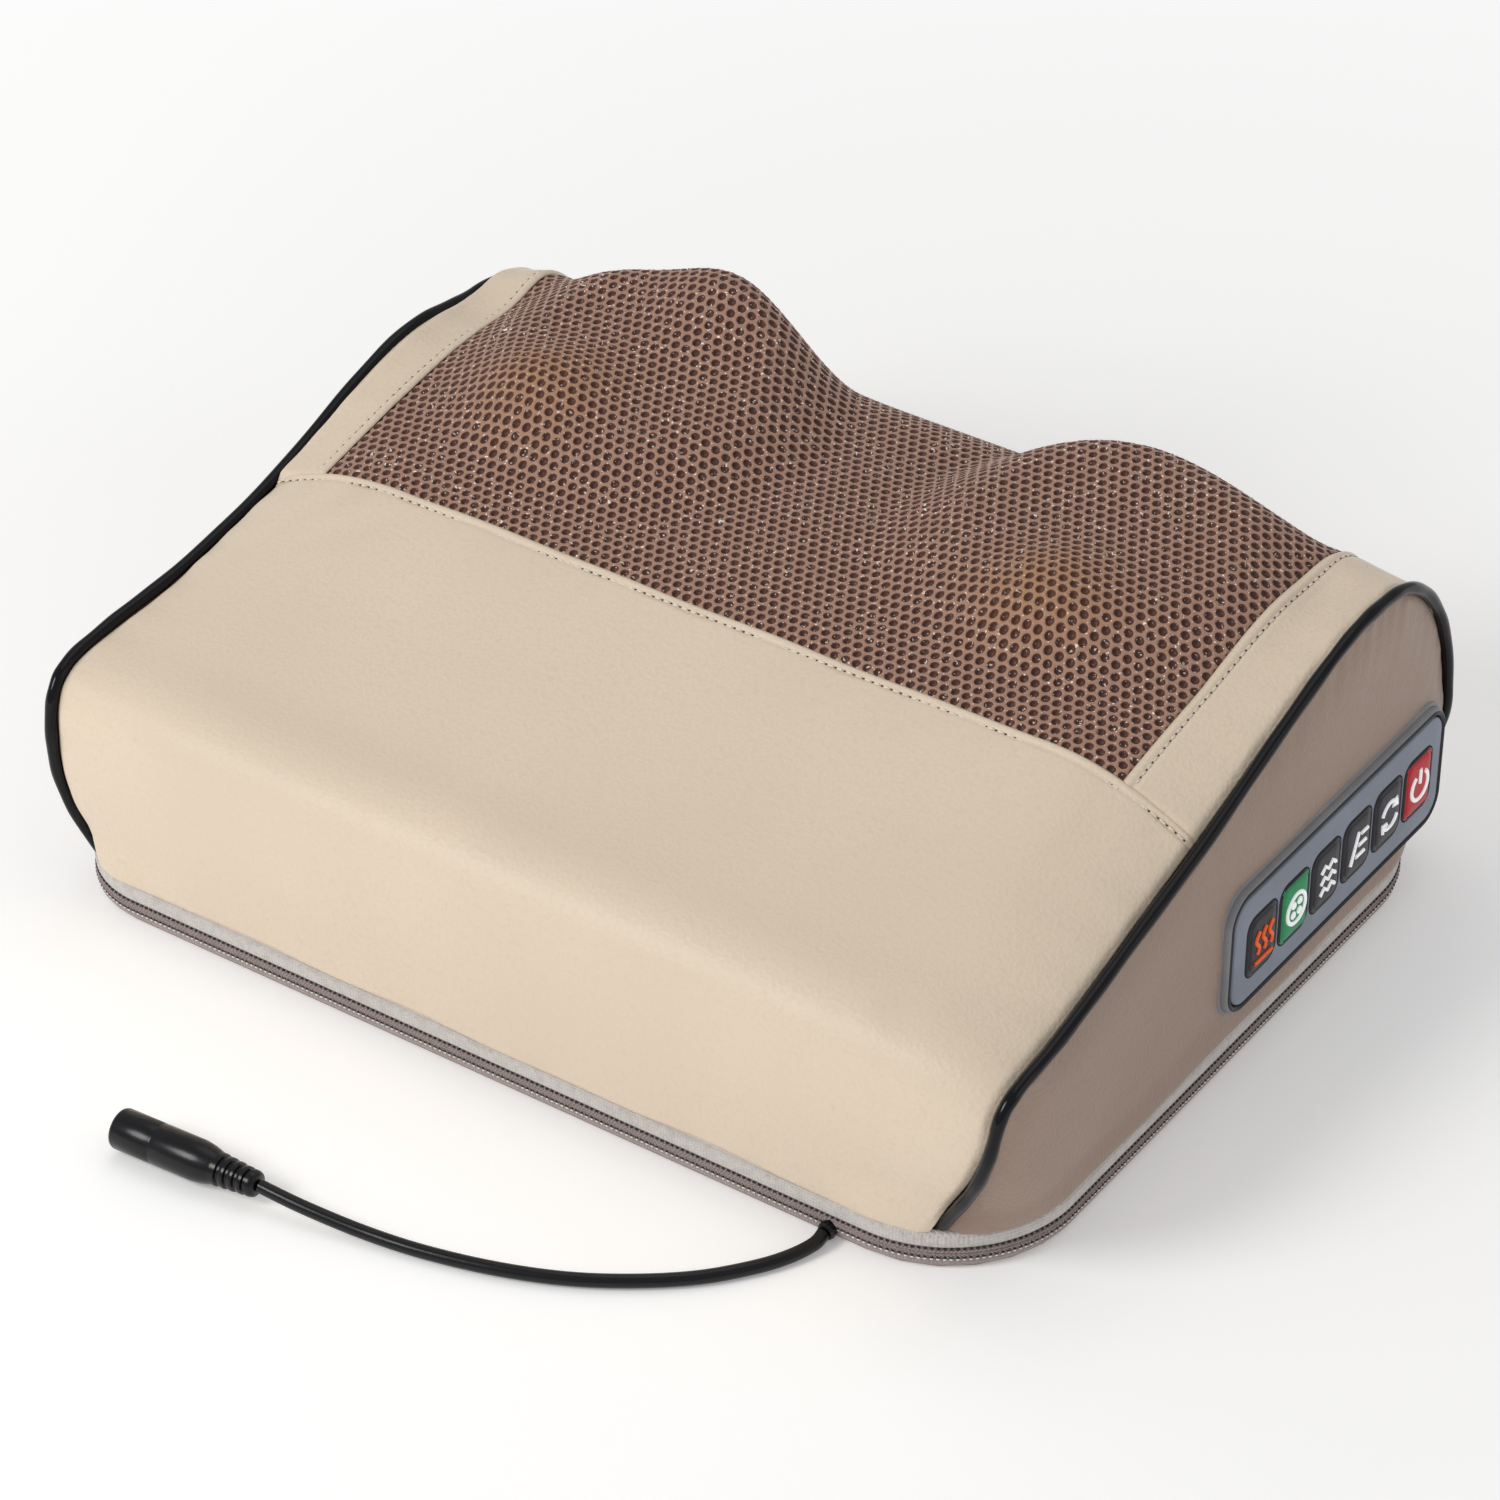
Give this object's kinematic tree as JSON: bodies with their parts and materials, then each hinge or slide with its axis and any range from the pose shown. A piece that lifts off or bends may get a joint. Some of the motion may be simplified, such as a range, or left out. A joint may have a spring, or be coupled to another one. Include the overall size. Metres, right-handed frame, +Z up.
{
  "type": "shiatsu neck massager",
  "caption": "Wedge-shaped massage pillow with a zipped cover, geared rotors that carry kneading heads, a key panel on its right-hand end and a short DC cord.",
  "frame": {"origin": "Middle of the flat base, on the surface it stands on.", "axes": "+X to the end with the key panel, +Y to the high back, -Y to the low front edge that the neck comes to, +Z up."},
  "size_m": [0.3304, 0.3421, 0.1327],
  "materials": {
    "cream_leathercloth": "fine-grained cream leathercloth",
    "taupe_leathercloth": "fine-grained taupe leathercloth",
    "brown_mesh": "knitted spacer mesh with round holes",
    "black_vinyl": "glossy black vinyl welt",
    "zip_tape": "woven zip tape",
    "zip_coil": "nylon zip coil",
    "foam": "open-cell polyurethane foam",
    "casing_plastic": "black moulded ABS",
    "gear_plastic": "natural acetal",
    "head_plastic": "amber moulded plastic",
    "steel": "bright steel",
    "brass": "sintered bronze",
    "lamp_glass": "tinted lamp lens",
    "panel_rubber": "dark moulded rim",
    "panel_grey": "blue-grey moulded plate",
    "key_dark": "dark silicone rubber key",
    "key_green": "green silicone rubber key",
    "key_red": "red silicone rubber key",
    "board": "green circuit board",
    "cable_black": "black PVC"
  },
  "bodies": {
    "pillow": {"front_panel": "cream_leathercloth", "back_panel": "cream_leathercloth", "left_top_strip": "cream_leathercloth", "right_top_strip": "cream_leathercloth", "left_end_panel": "taupe_leathercloth", "right_end_panel": "taupe_leathercloth", "bottom_panel": "taupe_leathercloth", "mesh_panel": "brown_mesh", "left_piping": "black_vinyl", "right_piping": "black_vinyl", "zipper_upper_tape": "zip_tape", "zipper_lower_tape": "zip_tape", "zipper_coil": "zip_coil", "front_foam": "foam", "left_side_foam": "foam", "right_side_foam": "foam", "lower_casing": "casing_plastic", "upper_casing": "casing_plastic", "casing_screw_1": "steel", "casing_screw_2": "steel", "casing_screw_3": "steel", "casing_screw_4": "steel", "motor_can": "steel", "left_idler_pin": "steel", "right_idler_pin": "steel", "motor_end_cap": "gear_plastic", "left_deck_bush": "brass", "right_deck_bush": "brass", "dc_contact_pin": "brass", "control_housing": "panel_rubber", "control_face": "panel_grey", "control_board": "board", "cord_gland": "cable_black", "power_cord": "cable_black", "dc_socket": "cable_black", "motor_lead": "cable_black", "supply_lead": "cable_black"},
    "left_rotor": {"left_drive_gear": "gear_plastic", "left_output_shaft": "steel", "left_rotor_arm": "casing_plastic", "left_heat_lamp": "lamp_glass"},
    "right_rotor": {"right_drive_gear": "gear_plastic", "right_output_shaft": "steel", "right_rotor_arm": "casing_plastic", "right_heat_lamp": "lamp_glass"},
    "left_idler": {"left_idler_gear": "gear_plastic"},
    "right_idler": {"right_idler_gear": "gear_plastic"},
    "motor_shaft": {"worm_shaft": "steel"},
    "left_back_head": {"left_back_head": "head_plastic"},
    "left_front_head": {"left_front_head": "head_plastic"},
    "right_back_head": {"right_back_head": "head_plastic"},
    "right_front_head": {"right_front_head": "head_plastic"},
    "heat_key": {"heat_key": "key_dark"},
    "mode_key": {"mode_key": "key_green"},
    "strength_key": {"strength_key": "key_dark"},
    "speed_key": {"speed_key": "key_dark"},
    "direction_key": {"direction_key": "key_dark"},
    "power_key": {"power_key": "key_red"},
    "zip_slider": {"zipper_slider": "steel"},
    "zip_pull": {"zipper_pull": "steel"}
  },
  "joints": [
    {"name": "left_rotor_spin", "type": "hinge", "parent": "pillow", "child": "left_rotor", "pos_m": [-0.08, 0.063, 0.0115], "axis": [0, -0.1045, 0.9945], "continuous": true},
    {"name": "right_rotor_spin", "type": "hinge", "parent": "pillow", "child": "right_rotor", "pos_m": [0.08, 0.063, 0.0115], "axis": [0, -0.1045, 0.9945], "continuous": true},
    {"name": "left_idler_spin", "type": "hinge", "parent": "pillow", "child": "left_idler", "pos_m": [-0.0185, 0.063, 0.0115], "axis": [0, -0.1045, 0.9945], "continuous": true},
    {"name": "right_idler_spin", "type": "hinge", "parent": "pillow", "child": "right_idler", "pos_m": [0.0185, 0.063, 0.0115], "axis": [0, -0.1045, 0.9945], "continuous": true},
    {"name": "motor_spin", "type": "hinge", "parent": "pillow", "child": "motor_shaft", "pos_m": [0, 0.0608, 0.03238], "axis": [0, 0.9945, 0.1045], "continuous": true},
    {"name": "left_back_head_spin", "type": "hinge", "parent": "left_rotor", "child": "left_back_head", "pos_m": [-0.06685, 0.08459, 0.06404], "axis": [0, -0.1045, 0.9945], "continuous": true},
    {"name": "left_front_head_spin", "type": "hinge", "parent": "left_rotor", "child": "left_front_head", "pos_m": [-0.09315, 0.03096, 0.05841], "axis": [0, -0.1045, 0.9945], "continuous": true},
    {"name": "right_back_head_spin", "type": "hinge", "parent": "right_rotor", "child": "right_back_head", "pos_m": [0.07582, 0.08732, 0.06433], "axis": [0, -0.1045, 0.9945], "continuous": true},
    {"name": "right_front_head_spin", "type": "hinge", "parent": "right_rotor", "child": "right_front_head", "pos_m": [0.08418, 0.02823, 0.05812], "axis": [0, -0.1045, 0.9945], "continuous": true},
    {"name": "heat_key_press", "type": "slide", "parent": "pillow", "child": "heat_key", "axis": [-1, 0, 0], "range_m": [0, 0.001], "stiffness_N_per_m": 1500},
    {"name": "mode_key_press", "type": "slide", "parent": "pillow", "child": "mode_key", "axis": [-1, 0, 0], "range_m": [0, 0.001], "stiffness_N_per_m": 1500},
    {"name": "strength_key_press", "type": "slide", "parent": "pillow", "child": "strength_key", "axis": [-1, 0, 0], "range_m": [0, 0.001], "stiffness_N_per_m": 1500},
    {"name": "speed_key_press", "type": "slide", "parent": "pillow", "child": "speed_key", "axis": [-1, 0, 0], "range_m": [0, 0.001], "stiffness_N_per_m": 1500},
    {"name": "direction_key_press", "type": "slide", "parent": "pillow", "child": "direction_key", "axis": [-1, 0, 0], "range_m": [0, 0.001], "stiffness_N_per_m": 1500},
    {"name": "power_key_press", "type": "slide", "parent": "pillow", "child": "power_key", "axis": [-1, 0, 0], "range_m": [0, 0.001], "stiffness_N_per_m": 1500},
    {"name": "zip_slide", "type": "slide", "parent": "pillow", "child": "zip_slider", "axis": [1, 0, 0], "range_m": [-0.05, 0.16]},
    {"name": "zip_pull_swing", "type": "hinge", "parent": "zip_slider", "child": "zip_pull", "pos_m": [-0.06, 0.1275, 0.007], "axis": [0, 0, 1], "range_deg": [0, 170]}
  ],
  "couplings": [
    {"joint": "right_rotor_spin", "follows": "left_rotor_spin", "ratio": -1},
    {"joint": "left_idler_spin", "follows": "left_rotor_spin", "ratio": -2.7273},
    {"joint": "right_idler_spin", "follows": "left_rotor_spin", "ratio": 2.7273},
    {"joint": "motor_spin", "follows": "left_rotor_spin", "ratio": 73.636}
  ]
}
